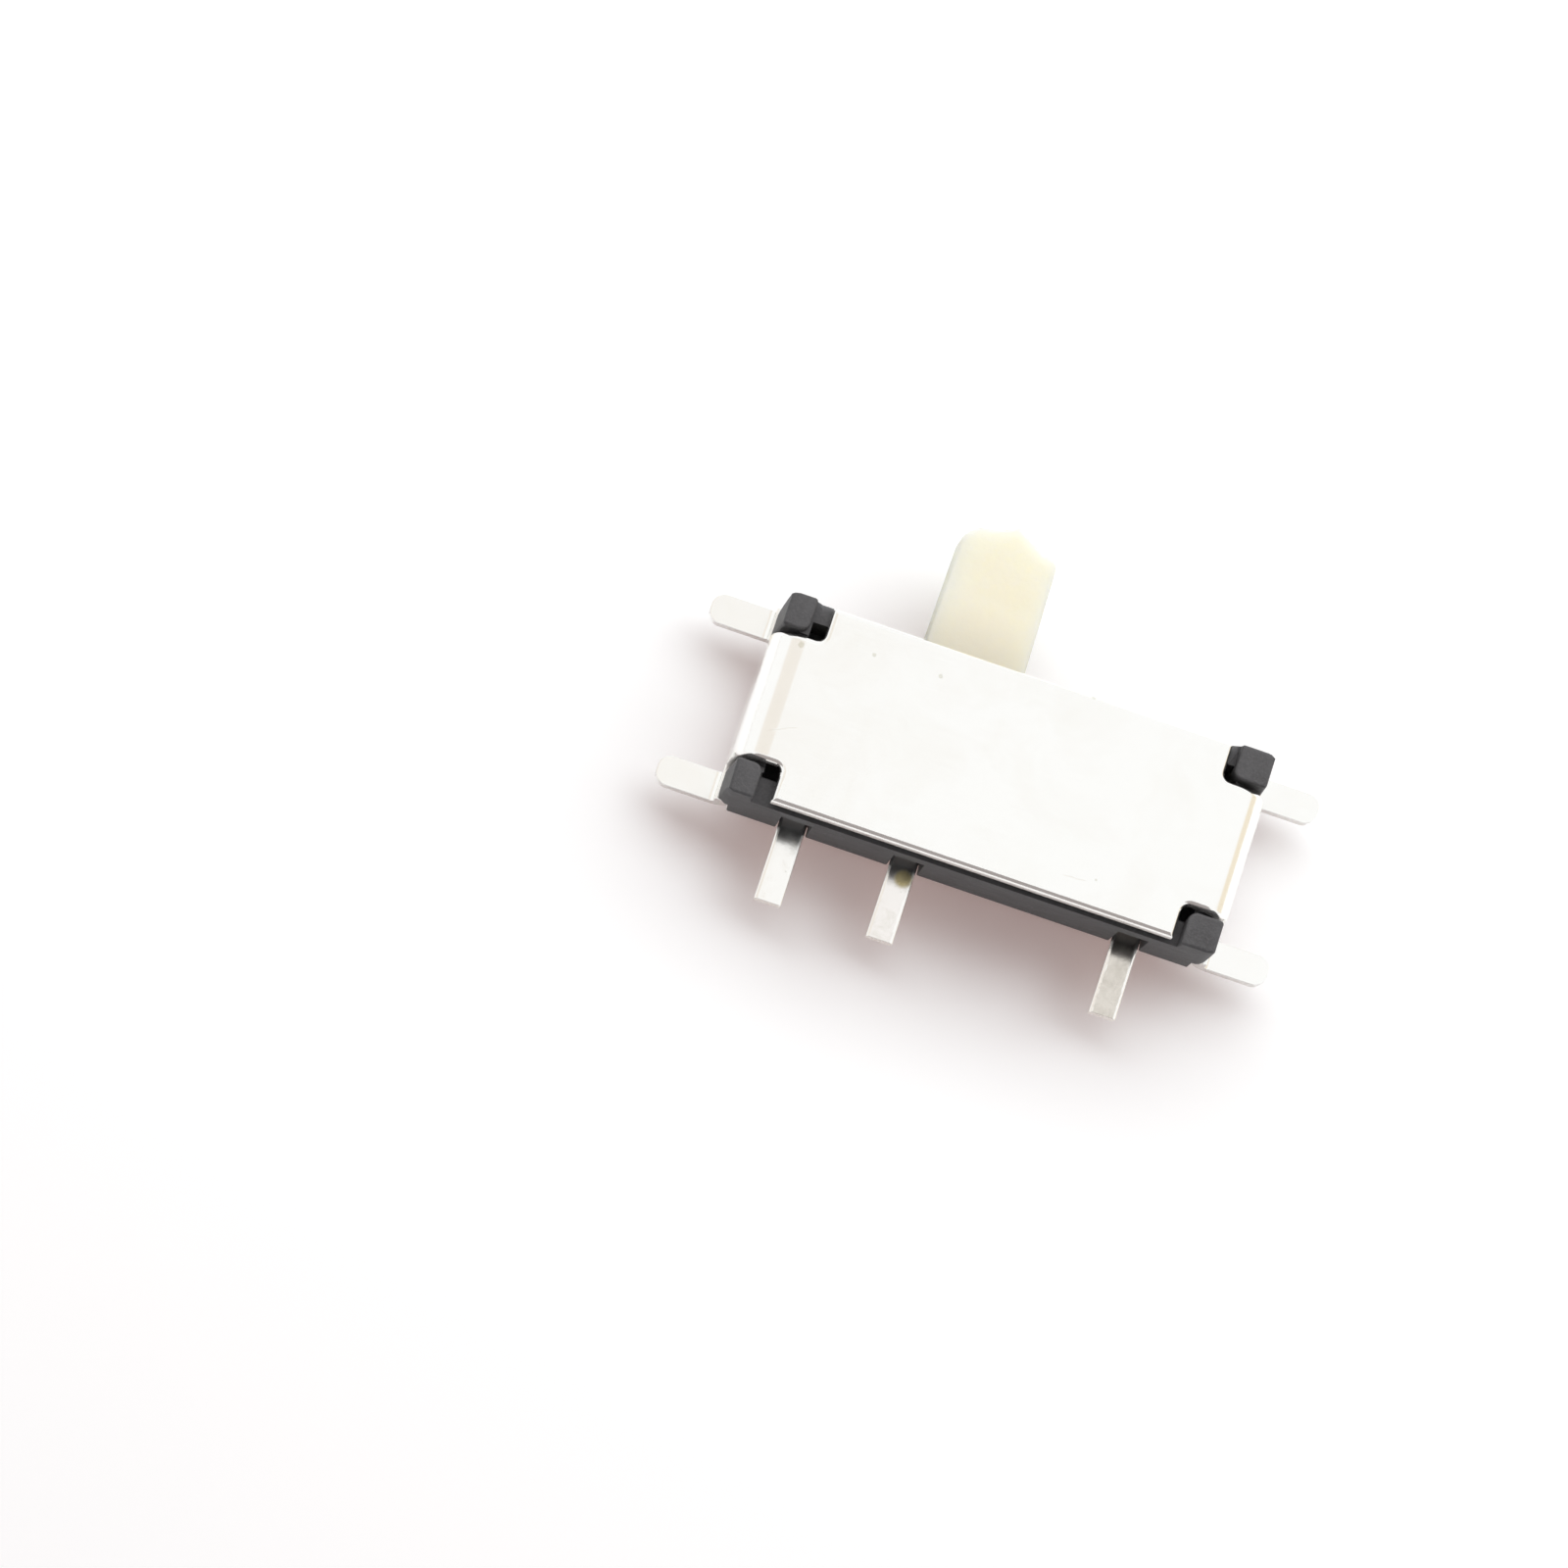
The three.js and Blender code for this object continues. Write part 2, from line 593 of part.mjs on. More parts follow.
function contactArm() {
  const spineHalf = SPINE_LENGTH / 2;
  const spineLevel = SPINE_TOP - SPRING / 2;
  const bearing = FLOOR + CONTACT_GAP + SPRING / 2;
  const line = [
    [spineHalf - SPRING, spineLevel],
    [spineHalf + SPRING, spineLevel, ARM_BEND],
    [ARM_BEARING, bearing, TOE_BEND],
    [ARM_TIP, bearing + ARM_TIP_LIFT],
  ];
  const front = STAKE_Y - ARM_DEPTH / 2;
  const rear = STAKE_Y + ARM_DEPTH / 2;
  const splitFront = STAKE_Y - ARM_SPLIT / 2;
  const splitRear = STAKE_Y + ARM_SPLIT / 2;
  const split = box(spineHalf + SPRING, ARM_TIP + PAST, splitFront, splitRear, 0, TOTAL_HEIGHT);
  return cut(elevation(strip(line, SPRING), front, rear), [split]);
}

function detentArm() {
  const root = -DETENT_ARM_SPAN / 2;
  const y = CAVITY_FRONT + DETENT_ARM_SETBACK;
  const line = [
    [root, SPINE_FRONT + SPRING],
    [root, y, DETENT_ARM_WIDTH],
    [-root, y],
  ];
  const arm = plan(strip(line, DETENT_ARM_WIDTH), SPINE_BOTTOM, SPINE_TOP);
  const noseY = CAVITY_FRONT + CONTACT_GAP + NOSE_RADIUS;
  const nose = cylinder(0, noseY, NOSE_RADIUS, SPINE_BOTTOM, SPINE_TOP);
  const stem = box(-NOSE_RADIUS, NOSE_RADIUS, noseY, y, SPINE_BOTTOM, SPINE_TOP);
  return join([arm, nose, stem]);
}

// ---- Materials and assembly ---------------------------------------------------------------------

const blackPlastic = new THREE.MeshStandardMaterial({ color: 0x3f3e40, roughness: 0.6, metalness: 0 });
const ivoryPlastic = new THREE.MeshStandardMaterial({ color: 0xf1ead2, roughness: 0.45, metalness: 0 });
const platedSteel = new THREE.MeshStandardMaterial({ color: 0xe9e7e0, roughness: 0.35, metalness: 1 });
const tinnedStrip = new THREE.MeshStandardMaterial({ color: 0xdedbd0, roughness: 0.3, metalness: 1 });
const springBronze = new THREE.MeshStandardMaterial({ color: 0xc9a06a, roughness: 0.35, metalness: 1 });

const group = new THREE.Group();
group.add(mesh("housing", housingSolid(), blackPlastic));
group.add(mesh("cover", coverSolid(), platedSteel));
TERMINAL_X.forEach((x, i) => {
  group.add(mesh(`terminal_${i + 1}`, terminalSolid(x, PAD_SPANS[i], 0), tinnedStrip));
});

const sliding = new THREE.Group();
sliding.position.x = SLIDER_X;
sliding.add(mesh("slider", sliderSolid(), ivoryPlastic));
sliding.add(mesh("moving_contact", contactSolid(), springBronze));
group.add(sliding);

export default group;
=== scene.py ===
import math

import bmesh
import bpy
from mathutils import Matrix, Vector


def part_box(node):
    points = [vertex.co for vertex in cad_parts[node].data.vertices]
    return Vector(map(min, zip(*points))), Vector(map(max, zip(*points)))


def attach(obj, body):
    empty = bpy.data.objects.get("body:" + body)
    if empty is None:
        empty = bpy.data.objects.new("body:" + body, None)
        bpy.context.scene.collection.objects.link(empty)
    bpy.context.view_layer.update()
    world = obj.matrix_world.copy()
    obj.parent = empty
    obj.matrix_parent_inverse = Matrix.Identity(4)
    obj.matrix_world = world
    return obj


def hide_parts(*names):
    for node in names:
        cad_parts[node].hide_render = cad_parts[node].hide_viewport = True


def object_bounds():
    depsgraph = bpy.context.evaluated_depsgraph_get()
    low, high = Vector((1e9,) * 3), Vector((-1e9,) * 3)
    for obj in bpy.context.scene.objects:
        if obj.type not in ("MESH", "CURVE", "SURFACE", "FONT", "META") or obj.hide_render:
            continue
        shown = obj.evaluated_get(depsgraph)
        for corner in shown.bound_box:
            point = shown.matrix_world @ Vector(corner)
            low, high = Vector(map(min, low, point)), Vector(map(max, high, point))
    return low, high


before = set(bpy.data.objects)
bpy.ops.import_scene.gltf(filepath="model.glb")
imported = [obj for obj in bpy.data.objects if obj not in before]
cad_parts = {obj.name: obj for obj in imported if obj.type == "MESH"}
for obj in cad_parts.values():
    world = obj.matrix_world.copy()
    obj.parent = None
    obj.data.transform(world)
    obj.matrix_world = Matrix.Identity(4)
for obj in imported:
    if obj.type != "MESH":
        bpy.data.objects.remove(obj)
cad_low, cad_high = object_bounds()
MM = 0.001  # a millimetre in metres


# ---- Camera, floor and light --------------------------------------------------------------------

def add_camera():
    back = Vector((-0.04804, -0.20302, 0.97800)).normalized()
    up = Vector((-0.32232, 0.92990, 0.17720))
    right = up.cross(back).normalized()
    up = back.cross(right)
    data = bpy.data.cameras.new("camera")
    data.sensor_width = 36
    data.lens = 135
    data.clip_start = 0.001
    data.clip_end = 10
    camera = bpy.data.objects.new("camera", data)
    axes = Matrix((right, up, back)).transposed().to_4x4()
    camera.matrix_world = Matrix.Translation(Vector((-6.1147, -15.9901, 73.3695)) * MM) @ axes
    bpy.context.scene.collection.objects.link(camera)
    bpy.context.scene.camera = camera


def add_area_light(name, location, target, width, height, radiance):
    """A rectangular lamp whose place and size are in millimetres."""
    data = bpy.data.lights.new(name, "AREA")
    data.shape = "RECTANGLE"
    data.size = width * MM
    data.size_y = height * MM
    data.energy = radiance * math.pi * data.size * data.size_y
    light = bpy.data.objects.new(name, data)
    light.location = Vector(location) * MM
    light.rotation_euler = (Vector(location) - Vector(target)).to_track_quat("Z", "Y").to_euler()
    light.visible_camera = False
    bpy.context.scene.collection.objects.link(light)
    return light


def cleared_nodes(owner):
    """The empty node tree of a material or world, as its nodes and links."""
    owner.use_nodes = True
    owner.node_tree.nodes.clear()
    return owner.node_tree.nodes, owner.node_tree.links


def stage_sheet(name, half_width, half_height, z=0.0):
    """A flat rectangle for the stage and its material's cleared nodes and links."""
    w, h = half_width, half_height
    mesh = bpy.data.meshes.new(name)
    mesh.from_pydata([(-w, -h, z), (w, -h, z), (w, h, z), (-w, h, z)], [], [(0, 1, 2, 3)])
    sheet = bpy.data.objects.new(name, mesh)
    bpy.context.scene.collection.objects.link(sheet)
    material = bpy.data.materials.new(name)
    mesh.materials.append(material)
    return sheet, *cleared_nodes(material)


def camera_white(nodes, links):
    """1 for rays that show the white background: straight, in a mirror or through a clear piece."""
    path = nodes.new("ShaderNodeLightPath")
    straight = nodes.new("ShaderNodeMath")
    straight.operation = "MAXIMUM"
    links.new(path.outputs["Is Camera Ray"], straight.inputs[0])
    links.new(path.outputs["Is Glossy Ray"], straight.inputs[1])
    shown = nodes.new("ShaderNodeMath")
    shown.operation = "MAXIMUM"
    links.new(straight.outputs[0], shown.inputs[0])
    links.new(path.outputs["Is Transmission Ray"], shown.inputs[1])
    return shown.outputs[0]


def add_world(strength):
    world = bpy.data.worlds.new("studio")
    bpy.context.scene.world = world
    nodes, links = cleared_nodes(world)
    lit = nodes.new("ShaderNodeBackground")
    lit.inputs["Color"].default_value = (1, 1, 1, 1)
    lit.inputs["Strength"].default_value = strength
    white = nodes.new("ShaderNodeBackground")
    white.inputs["Color"].default_value = (1, 1, 1, 1)
    white.inputs["Strength"].default_value = 1
    mix = nodes.new("ShaderNodeMixShader")
    out = nodes.new("ShaderNodeOutputWorld")
    links.new(camera_white(nodes, links), mix.inputs[0])
    links.new(lit.outputs[0], mix.inputs[1])
    links.new(white.outputs[0], mix.inputs[2])
    links.new(mix.outputs[0], out.inputs[0])


def add_floor(colour, glow_colour, glow_strength):
    """The white floor at the pegs' ends. Its glow shows only to rays that show the background."""
    floor, nodes, links = stage_sheet("floor", 1.0, 1.0, cad_low.z)
    diffuse = nodes.new("ShaderNodeBsdfDiffuse")
    diffuse.inputs["Color"].default_value = (*colour, 1)
    glow = nodes.new("ShaderNodeEmission")
    glow.inputs["Color"].default_value = (*glow_colour, 1)
    scale = nodes.new("ShaderNodeMath")
    scale.operation = "MULTIPLY"
    scale.inputs[1].default_value = glow_strength
    links.new(camera_white(nodes, links), scale.inputs[0])
    links.new(scale.outputs[0], glow.inputs["Strength"])
    add = nodes.new("ShaderNodeAddShader")
    out = nodes.new("ShaderNodeOutputMaterial")
    links.new(diffuse.outputs[0], add.inputs[0])
    links.new(glow.outputs[0], add.inputs[1])
    links.new(add.outputs[0], out.inputs[0])


def add_card(name, direction, distance, width, height, colour):
    """A card that only mirror-like surfaces see, so that curved metal shows where it curves."""
    card, nodes, links = stage_sheet(name, width / 2 * MM, height / 2 * MM)
    centre = Vector(direction).normalized() * distance * MM
    turned = centre.to_track_quat("Z", "Y").to_matrix().to_4x4()
    card.matrix_world = Matrix.Translation(centre) @ turned
    glow = nodes.new("ShaderNodeEmission")
    glow.inputs["Color"].default_value = (*colour, 1)
    out = nodes.new("ShaderNodeOutputMaterial")
    links.new(glow.outputs[0], out.inputs[0])
    card.visible_camera = False
    card.visible_diffuse = False
    card.visible_transmission = False
    card.visible_volume_scatter = False
    card.visible_shadow = False


CARDS_AWAY = 110  # the cards' distance from the part in millimetres

bpy.context.scene.view_settings.view_transform = "Standard"
add_camera()
add_world(0.26)
key = add_area_light("key", (12, 56, 83), target=(0, 0, 0), width=230, height=76, radiance=3.15)
key.visible_glossy = False
add_floor(colour=(0.82, 0.90, 0.917), glow_colour=(1.0, 0.61, 0.54), glow_strength=0.235)
add_card("front_card", (0, -0.79, 0.61), CARDS_AWAY, 180, 150, (0.37, 0.335, 0.33))
add_card("left_card", (-0.42, 0.20, 0.88), CARDS_AWAY, 56, 90, (0.90, 0.855, 0.80))
add_card("right_card", (0.97, 0.20, 0.12), CARDS_AWAY, 120, 56, (0.89, 0.80, 0.65))


# ---- Meshes -------------------------------------------------------------------------------------

SHARP = 40  # degrees between two faces, from which an edge shows
SAME_POINT = 2e-4  # vertices of the CAD's triangles that are this near are one
FLAT = 0.6  # degrees, under which two CAD faces are one flat face
TINY_EDGE = 0.005  # edges under this length are collapsed


def cad_shape(node, weld=0.0, where=None):
    """A CAD node's shape in millimetres: each flat face is one polygon, short arc steps are merged.

    weld is the step length to merge, where(point) limits it to a part of the shape.
    """
    bm = bmesh.new()
    bm.from_mesh(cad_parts[node].data)
    bmesh.ops.scale(bm, vec=(1 / MM,) * 3, verts=bm.verts)
    bmesh.ops.remove_doubles(bm, verts=bm.verts, dist=SAME_POINT)
    bmesh.ops.dissolve_limit(bm, angle_limit=math.radians(FLAT), verts=bm.verts, edges=bm.edges)
    bmesh.ops.dissolve_degenerate(bm, dist=TINY_EDGE, edges=bm.edges)
    if weld:
        verts = [v for v in bm.verts if where is None or where(v.co)]
        bmesh.ops.remove_doubles(bm, verts=verts, dist=weld)
    return bm


def middle(edge):
    return (edge.verts[0].co + edge.verts[1].co) / 2


def along(edge, axis, least=0.95):
    """Whether an edge runs along an axis, 0, 1 or 2, by the cosine of its angle to it."""
    direction = edge.verts[1].co - edge.verts[0].co
    return abs(direction[axis]) >= least * direction.length


def turn(edge):
    """The angle in degrees between the two faces at an edge."""
    return math.degrees(edge.calc_face_angle(0)) if edge.is_manifold else 0


def bevel(bm, width, segments, chosen, degrees=25):
    """Rounds the edges sharper than degrees that chosen(edge, middle) picks."""
    edges = [e for e in bm.edges if turn(e) > degrees and chosen(e, middle(e))]
    bmesh.ops.bevel(bm, geom=edges, offset=width, offset_type="OFFSET", segments=segments,
                    profile=0.5, affect="EDGES", clamp_overlap=False, loop_slide=True)


def outer_edge(edge):
    """Whether an edge stands out, isn't a short step and meets no feather edge or crowded corner."""
    near = [e for v in edge.verts for e in v.link_edges]
    crowded = any(sum(not e.is_convex and turn(e) > 60 for e in v.link_edges) > 1 for v in edge.verts)
    feather = any(turn(e) > 120 or e.calc_length() < 0.015 for e in near)
    return edge.is_convex and edge.calc_length() > 0.03 and not crowded and not feather


def corner_normals(bm):
    """A normal for each face corner: the mean, by area, of the faces that it runs smoothly into."""
    bm.faces.index_update()
    bm.verts.index_update()
    means = {}
    for vert in bm.verts:
        left = list(vert.link_faces)
        while left:
            group = [left.pop(0)]
            for face in group:
                soft = [e for e in face.edges if vert in e.verts and turn(e) < SHARP]
                near = [f for f in left if any(f in e.link_faces for e in soft)]
                left = [f for f in left if f not in near]
                group.extend(near)
            mean = sum((face.normal * face.calc_area() for face in group), Vector()).normalized()
            for face in group:
                means[face.index, vert.index] = mean
    return [means[face.index, vert.index] for face in bm.faces for vert in face.verts]


def finish_piece(name, bm, body, replaced, materials, face_material=None):
    """Makes the piece. face_material(normal, centre) picks each face's material by its number."""
    bm.normal_update()
    if face_material:
        for face in bm.faces:
            face.material_index = face_material(face.normal, face.calc_center_median())
    normals = corner_normals(bm)
    bmesh.ops.scale(bm, vec=(MM,) * 3, verts=bm.verts)
    mesh = bpy.data.meshes.new(name)
    bm.to_mesh(mesh)
    bm.free()
    mesh.shade_smooth()
    mesh.set_sharp_from_angle(angle=math.radians(SHARP))
    mesh.normals_split_custom_set(normals)
    for material in materials:
        mesh.materials.append(material)
    piece = bpy.data.objects.new(name, mesh)
    bpy.context.scene.collection.objects.link(piece)
    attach(piece, body)
    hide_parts(replaced)
    return piece


# ---- Materials ----------------------------------------------------------------------------------

class Graph:
    """The nodes of one material. An input takes a number, a colour or another node's output."""

    def __init__(self, name):
        self.material = bpy.data.materials.new(name)
        self.material.use_nodes = True
        tree = self.material.node_tree
        self.nodes, self.links = tree.nodes, tree.links
        self.shader = self.nodes["Principled BSDF"]
        coordinates = self.nodes.new("ShaderNodeTexCoord")
        mapping = self.nodes.new("ShaderNodeMapping")
        mapping.inputs["Scale"].default_value = (1 / MM,) * 3
        self.links.new(coordinates.outputs["Object"], mapping.inputs["Vector"])
        self.mm = mapping.outputs[0]

    def feed(self, socket, value):
        if isinstance(value, bpy.types.NodeSocket):
            self.links.new(value, socket)
        elif isinstance(value, (tuple, list)) and len(value) == 3 and socket.type == "RGBA":
            socket.default_value = (*value, 1)
        else:
            socket.default_value = value

    def node(self, kind, inputs=(), **settings):
        made = self.nodes.new(kind)
        for key, value in settings.items():
            setattr(made, key, value)
        for key, value in dict(inputs).items():
            self.feed(made.inputs[key], value)
        return made

    def stretched(self, x, y, z):
        return self.node("ShaderNodeMapping", {"Vector": self.mm, "Scale": (x, y, z)}).outputs[0]

    def noise(self, scale, detail=3.0, roughness=0.5, distortion=0.0, vector=None):
        return self.node("ShaderNodeTexNoise", {
            "Vector": vector or self.mm, "Scale": scale, "Detail": detail,
            "Roughness": roughness, "Distortion": distortion}).outputs["Fac"]

    def math(self, operation, a, b=0.0):
        return self.node("ShaderNodeMath", {0: a, 1: b}, operation=operation).outputs[0]

    def vector(self, operation, a, b):
        return self.node("ShaderNodeVectorMath", {0: a, 1: b}, operation=operation)

    def along(self, axis):
        """The place along an axis, "X", "Y" or "Z", in millimetres."""
        return self.node("ShaderNodeSeparateXYZ", {0: self.mm}).outputs[axis]

    def span(self, value, low, high, to_low=0.0, to_high=1.0, smooth=False):
        return self.node("ShaderNodeMapRange", {
            "Value": value, "From Min": low, "From Max": high, "To Min": to_low, "To Max": to_high},
            interpolation_type="SMOOTHSTEP" if smooth else "LINEAR").outputs[0]

    def mix(self, share, a, b):
        made = self.node("ShaderNodeMix", data_type="RGBA")
        self.feed(made.inputs[0], share)
        self.feed(made.inputs[6], a)
        self.feed(made.inputs[7], b)
        return made.outputs[2]

    def spot(self, x, y, radius, ragged=0.0):
        """1 inside a round spot seen from above, with a ragged edge."""
        flat = self.vector("MULTIPLY", self.mm, (1, 1, 0)).outputs[0]
        away = self.vector("DISTANCE", flat, (x, y, 0)).outputs["Value"]
        if ragged:
            uneven = self.math("SUBTRACT", self.noise(22), 0.5)
            away = self.math("ADD", away, self.math("MULTIPLY", uneven, ragged))
        return self.span(away, radius * 0.5, radius, 1.0, 0.0, smooth=True)

    def line(self, start, end, half_width):
        """1 along a straight mark between two points seen from above."""
        start, end = Vector((*start, 0)), Vector((*end, 0))
        centre = (start + end) / 2
        angle = math.atan2(end.y - start.y, end.x - start.x)
        placed = self.vector("SUBTRACT", self.mm, centre).outputs[0]
        turned = self.node("ShaderNodeVectorRotate", {"Vector": placed, "Angle": -angle},
                           rotation_type="Z_AXIS").outputs[0]
        parts = self.node("ShaderNodeSeparateXYZ", {0: turned}).outputs
        wobble = self.math("MULTIPLY", self.math("SUBTRACT", self.noise(6), 0.5), half_width * 3)
        across = self.math("ABSOLUTE", self.math("ADD", parts["Y"], wobble))
        length = (end - start).length / 2
        lengthwise = self.math("ABSOLUTE", parts["X"])
        inside = self.span(lengthwise, length * 0.6, length, 1.0, 0.0, smooth=True)
        return self.math("MULTIPLY", self.span(across, 0, half_width, 1.0, 0.0, smooth=True), inside)

    def most(self, *values):
        total = values[0]
        for value in values[1:]:
            total = self.math("MAXIMUM", total, value)
        return total

    def set(self, **values):
        for key, value in values.items():
            self.feed(self.shader.inputs[key.replace("_", " ")], value)

    def bump(self, height, depth, normal=None):
        made = self.node("ShaderNodeBump", {"Height": height, "Distance": depth * MM, "Strength": 1.0})
        if normal:
            self.links.new(normal, made.inputs["Normal"])
        return made.outputs[0]


def black_plastic():
    g = Graph("black_plastic")
    cloud = g.noise(3.5, 4, 0.6)
    grain = g.noise(26, 3, 0.6)
    base = g.mix(g.span(cloud, 0.3, 0.7), (0.055, 0.053, 0.055), (0.081, 0.079, 0.082))
    base = g.mix(g.span(grain, 0.45, 0.75), base, (0.097, 0.094, 0.096))
    g.set(Base_Color=base, Roughness=g.span(grain, 0.3, 0.7, 0.5, 0.66))
    normal = g.bump(grain, 0.006)
    g.set(Normal=g.bump(cloud, 0.02, normal))
    return g.material


def plated_steel():
    g = Graph("plated_steel")
    stain = g.noise(0.9, 4, 0.6, 0.6)
    rolled = g.noise(1.0, 4, 0.6, vector=g.stretched(1.4, 34, 20))
    fine = g.noise(60, 2, 0.5)
    base = g.mix(g.span(stain, 0.42, 0.72), (0.985, 0.985, 0.962), (0.965, 0.958, 0.925))
    marks = g.most(
        g.spot(-2.01, 0.89, 0.032, 0.03),
        g.spot(-1.13, 0.91, 0.04, 0.04),
        g.spot(-2.92, 0.71, 0.05, 0.05),
        g.spot(0.8, 1.31, 0.05, 0.05),
        g.spot(1.52, -0.93, 0.022, 0.02))
    base = g.mix(g.math("MULTIPLY", marks, 0.4), base, (0.55, 0.54, 0.40))
    scratch = g.most(
        g.line((1.08, -1.01), (1.42, -0.98), 0.014),
        g.line((-2.99, -0.47), (-2.64, -0.31), 0.016))
    base = g.mix(g.math("MULTIPLY", scratch, 0.3), base, (0.75, 0.69, 0.58))
    g.set(Metallic=1.0, Base_Color=base)
    rough = g.span(rolled, 0.3, 0.7, 0.13, 0.17)
    g.set(Roughness=g.math("ADD", rough, g.span(stain, 0.4, 0.7, 0.0, 0.04)))
    normal = g.bump(rolled, 0.0005)
    normal = g.bump(fine, 0.0003, normal)
    g.set(Normal=g.bump(scratch, -0.002, normal))
    return g.material


def sheared_steel():
    g = Graph("sheared_steel")
    tear = g.noise(1.0, 4, 0.65, vector=g.stretched(34, 34, 3))
    base = g.mix(g.span(tear, 0.35, 0.7), (0.86, 0.84, 0.82), (0.76, 0.73, 0.70))
    g.set(Metallic=1.0, Base_Color=base, Roughness=g.span(tear, 0.3, 0.7, 0.34, 0.48))
    g.set(Normal=g.bump(tear, 0.003))
    return g.material


def tinned_strip(name, centre, bright, dull, share, brass_and_glint_spot=None):
    """Tin over strip, with painted highlights along both long edges of a terminal whose middle is at x
    = centre.

    The last argument is the middle, in x and y, of a small olive patch on top: partly brass showing
    where a thinner tin layer lets it through, partly a painted glint.
    """
    g = Graph(name)
    cloud = g.noise(4.0, 5, 0.65, 0.4)
    fine = g.noise(1.0, 3, 0.6, vector=g.stretched(40, 5, 40))
    base = g.mix(g.span(cloud, 0.62 - share, 0.9 - share), bright, dull)
    pits = g.span(g.noise(17, 2, 0.5), 0.70, 0.78, 0.0, 0.35)
    base = g.mix(pits, base, (0.45, 0.42, 0.33))
    # Painted highlight: the base colour is lighter along both long edges, where the rounded edges
    # catch light.
    offset = g.math("ABSOLUTE", g.math("SUBTRACT", g.along("X"), centre))
    ragged = g.math("MULTIPLY", g.math("SUBTRACT", g.noise(9, 3, 0.6), 0.5), 0.05)
    painted_edge_highlight = g.span(g.math("ADD", offset, ragged), 0.125, 0.15, smooth=True)
    base = g.mix(painted_edge_highlight, base, (0.97, 0.96, 0.93))
    rough = g.span(cloud, 0.35, 0.75, 0.10, 0.2)
    # The olive patch on top near the root: partly brass showing through the tin, partly a painted
    # glint.
    if brass_and_glint_spot:
        on_top = g.span(g.along("Z"), 0.08, 0.12)
        brass_and_glint_mask = g.math("MULTIPLY", g.spot(*brass_and_glint_spot, 0.15, 0.03), on_top)
        base = g.mix(g.math("MULTIPLY", brass_and_glint_mask, 0.85), base, (0.60, 0.50, 0.22))
        rough = g.math("ADD", rough, g.math("MULTIPLY", brass_and_glint_mask, 0.10))
    g.set(Metallic=1.0, Base_Color=base, Roughness=rough)
    normal = g.bump(fine, 0.0002)
    g.set(Normal=g.bump(cloud, 0.001, normal))
    return g.material


def cut_brass():
    g = Graph("cut_brass")
    tear = g.noise(1.0, 4, 0.6, vector=g.stretched(45, 45, 6))
    layer = g.noise(9, 3, 0.6)
    base = g.mix(g.span(layer, 0.35, 0.65), (1.0, 0.98, 0.93), (0.97, 0.93, 0.87))
    g.set(Metallic=1.0, Base_Color=base, Roughness=g.span(tear, 0.3, 0.7, 0.22, 0.34))
    g.set(Normal=g.bump(tear, 0.003))
    return g.material


def ivory_plastic():
    g = Graph("ivory_plastic")
    cloud = g.noise(1.6, 4, 0.55)
    grain = g.noise(30, 3, 0.55)
    base = g.mix(g.span(cloud, 0.3, 0.7), (0.855, 0.812, 0.695), (0.84, 0.79, 0.655))
    base = g.mix(g.span(grain, 0.62, 0.8, 0.0, 0.3), base, (0.79, 0.735, 0.585))
    # Painted shade: the knob darkens towards its root, where the cover's edge overhangs it.
    uneven_y = g.math("ADD", g.along("Y"), g.math("MULTIPLY", cloud, 0.3))
    painted_root_shade = g.span(uneven_y, 1.4, 2.3, 0.9, 0.0, smooth=True)
    base = g.mix(painted_root_shade, base, (0.675, 0.636, 0.53))
    g.set(Base_Color=base, Roughness=g.span(grain, 0.3, 0.7, 0.38, 0.5))
    g.set(Subsurface_Weight=1.0, Subsurface_Radius=(0.9, 0.85, 0.65), Subsurface_Scale=0.7 * MM)
    normal = g.bump(grain, 0.003)
    g.set(Normal=g.bump(cloud, 0.02, normal))
    return g.material


def spring_bronze():
    g = Graph("spring_bronze")
    rolled = g.noise(1.0, 4, 0.6, vector=g.stretched(3, 60, 60))
    cloud = g.noise(5, 3, 0.5)
    base = g.mix(g.span(cloud, 0.35, 0.7), (0.85, 0.66, 0.42), (0.76, 0.56, 0.34))
    g.set(Metallic=1.0, Base_Color=base, Roughness=g.span(rolled, 0.3, 0.7, 0.22, 0.38))
    g.set(Normal=g.bump(rolled, 0.001))
    return g.material


black = black_plastic()
steel = plated_steel()
sheared = sheared_steel()
ivory = ivory_plastic()
bronze = spring_bronze()
brass = cut_brass()


# ---- Pieces -------------------------------------------------------------------------------------
# The shapes come from the CAD. These values, in millimetres, say where its edges are rounded.

COVER_TOP = (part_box("cover")[1] / MM).z
SKIN_X = 3.31  # the outside of the cover's walls
SKIN_BEND = 0.44  # the outside of its bends
FOOT_END = 4.05  # past this x only the ends of its feet are left
HOUSING_TOP = (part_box("housing")[1] / MM).z
POST_INNER, POST_OUTER = 0.9, 1.35  # y of the corner posts' faces, the outer one also the rear wall's
REAR_RIM = 1.24  # the top of the rear wall
RIM_LEFT, RIM_RIGHT = -2.81, 2.70  # the ends of its rounding, just short of the rear posts
WALL_FRONT = -1.3  # in front of this y a terminal is outside the housing
KNOB_ROOT = 1.3  # behind this y the slider is outside the housing
KNOB_TIP = 2.7  # past this y is the tip, with the moulding gate
GATE_FOOT = 0.55  # the height of the gate's lower edge
DIMPLE_X, DIMPLE_Y, DIMPLE_REACH = -0.75, 2.4, 0.45
DIMPLE_TOP = 0.44
ARC_STEP = 0.025  # the steps of round corners under this length are merged
NEAR = 0.01


def on_skin(point):
    """Whether a point of the cover is on its outer surface, above the shoulders of its walls."""
    across = max(abs(point.x) - (SKIN_X - SKIN_BEND), 0)
    up = point.z - (COVER_TOP - SKIN_BEND)
    if up > 0 and across > 0:
        return abs(math.hypot(across, up) - SKIN_BEND) < NEAR
    return point.z > COVER_TOP - NEAR


